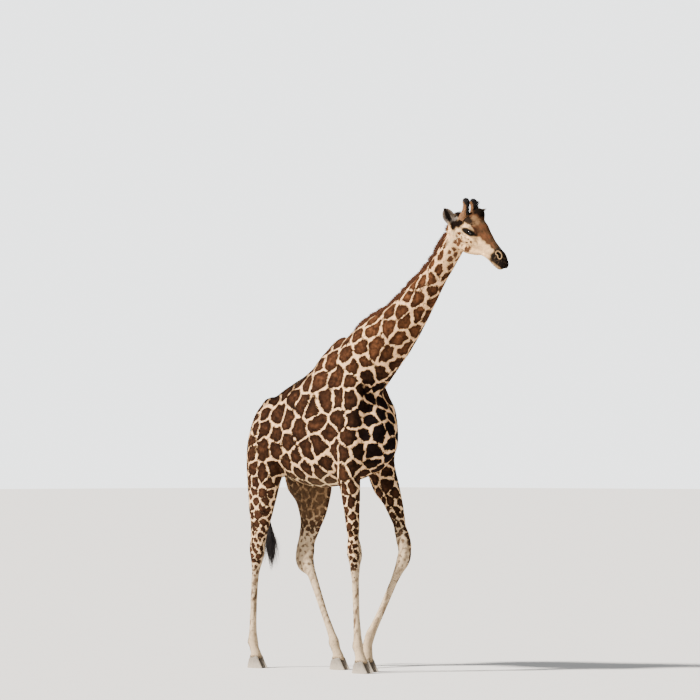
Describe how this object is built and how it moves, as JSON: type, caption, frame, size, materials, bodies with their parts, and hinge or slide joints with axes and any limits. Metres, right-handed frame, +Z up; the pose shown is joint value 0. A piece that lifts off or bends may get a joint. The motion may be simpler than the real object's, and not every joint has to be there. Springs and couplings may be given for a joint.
{
  "type": "giraffe model",
  "caption": "Life-size still model of a walking giraffe with a short mane, horns with hair on their tips, and a tufted tail; it stands on its own hooves.",
  "frame": {"origin": "on the floor under the middle of the whole animal's box", "axes": "+Z up, +X the way the animal walks, +Y its left side"},
  "size_m": [3.025, 0.66, 4.085],
  "materials": {
    "coat": "short flat hair, brown patches parted by buff lines",
    "mane": "stiff upright hair",
    "dark_hair": "long coarse hair",
    "horn": "skin over bone with dark hair at the tip",
    "eye": "wet and glossy",
    "hoof": "dusty horn"
  },
  "bodies": {
    "root": {"trunk": "coat", "neck": "coat", "head": "coat", "foreleg_right": "coat", "foreleg_left": "coat", "hindleg_right": "coat", "hindleg_left": "coat", "mane": "mane", "tail": "coat", "tail_tuft": "dark_hair", "ossicone_right": "horn", "ear_right": "coat", "eye_right": "eye", "ossicone_left": "horn", "ear_left": "coat", "eye_left": "eye", "claw_fore_right_a": "hoof", "claw_fore_right_b": "hoof", "claw_fore_left_a": "hoof", "claw_fore_left_b": "hoof", "claw_hind_right_a": "hoof", "claw_hind_right_b": "hoof", "claw_hind_left_a": "hoof", "claw_hind_left_b": "hoof"}
  },
  "joints": []
}
